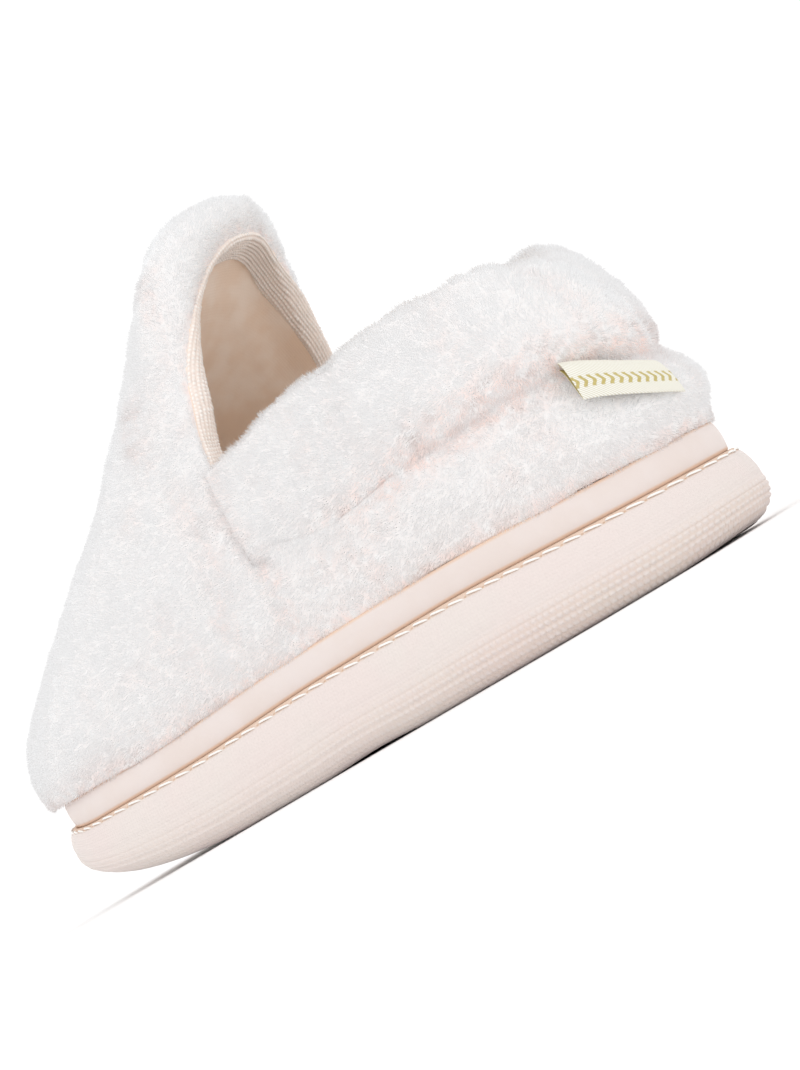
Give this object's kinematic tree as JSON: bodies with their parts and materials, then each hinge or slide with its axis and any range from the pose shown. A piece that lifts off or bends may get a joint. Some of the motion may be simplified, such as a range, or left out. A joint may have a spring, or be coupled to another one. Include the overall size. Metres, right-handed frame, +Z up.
{
  "type": "closed-back slipper",
  "caption": "Closed-back fleece slipper with a padded collar, high vamp, smooth foxing band and a thick moulded rubber sole with chevron tread",
  "frame": {"origin": "middle of the bounding box, on the floor the sole stands on", "axes": "+X from heel to toe, +Y to the wearer's left, +Z up"},
  "size_m": [0.2652, 0.106, 0.1658],
  "materials": {
    "sole_rubber": "matte moulded, fine knurl",
    "band_rubber": "smooth satin",
    "fleece": "short soft pile",
    "footbed": "napped knit",
    "ribbon": "woven twill"
  },
  "bodies": {
    "root": {"outsole": "sole_rubber", "foxing_band": "band_rubber", "upper": "fleece", "collar": "fleece", "insole": "footbed", "heel_label": "ribbon"}
  },
  "joints": []
}
